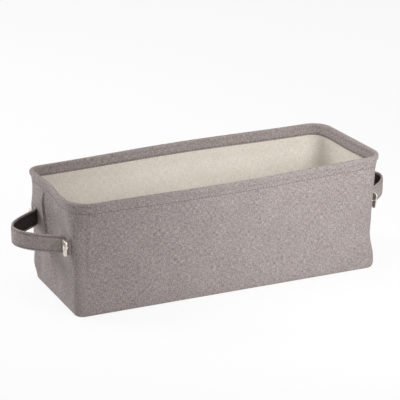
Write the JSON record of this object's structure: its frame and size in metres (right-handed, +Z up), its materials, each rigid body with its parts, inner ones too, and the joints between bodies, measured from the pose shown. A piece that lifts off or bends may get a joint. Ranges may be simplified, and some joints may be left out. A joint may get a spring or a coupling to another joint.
{
  "type": "fabric storage bin",
  "caption": "Long open-topped fabric storage bin with a wired rim, a cotton lining, a board in the base and a riveted strap handle on each end wall.",
  "frame": {"origin": "centre of the footprint, on the surface the bin stands on", "axes": "+X along the bin's length, +Y across it from the front long wall to the back one, +Z up"},
  "size_m": [0.4357, 0.1574, 0.1309],
  "materials": {
    "canvas": "heathered warm grey plain-weave canvas, matt",
    "strap": "the same canvas folded in layers and topstitched",
    "lining": "plain greige cotton, matt",
    "interlining": "stiff non-woven",
    "board": "plain hardboard",
    "rim_wire": "drawn steel wire",
    "clasp_metal": "satin pale nickel plate",
    "washer_metal": "plain nickel plate"
  },
  "bodies": {
    "root": {"outer_front_wall": "canvas", "outer_back_wall": "canvas", "outer_base_panel": "canvas", "front_interlining": "interlining", "back_interlining": "interlining", "base_board": "board", "front_lining_wall": "lining", "back_lining_wall": "lining", "lining_base_panel": "lining", "rim_wire": "rim_wire", "left_front_strap_end": "strap", "left_front_clasp": "clasp_metal", "left_front_rivet": "clasp_metal", "left_front_washer": "washer_metal", "left_back_strap_end": "strap", "left_back_clasp": "clasp_metal", "left_back_rivet": "clasp_metal", "left_back_washer": "washer_metal", "right_front_strap_end": "strap", "right_front_clasp": "clasp_metal", "right_front_rivet": "clasp_metal", "right_front_washer": "washer_metal", "right_back_strap_end": "strap", "right_back_clasp": "clasp_metal", "right_back_rivet": "clasp_metal", "right_back_washer": "washer_metal"},
    "left_handle": {"left_strap_loop": "strap"},
    "right_handle": {"right_strap_loop": "strap"}
  },
  "joints": [
    {"name": "left_handle_swing", "type": "hinge", "parent": "root", "child": "left_handle", "pos_m": [-0.187, 0, 0.075], "axis": [0, 1, 0], "range_deg": [-75, 75]},
    {"name": "right_handle_swing", "type": "hinge", "parent": "root", "child": "right_handle", "pos_m": [0.183, 0, 0.075], "axis": [0, -1, 0], "range_deg": [-75, 75]}
  ]
}
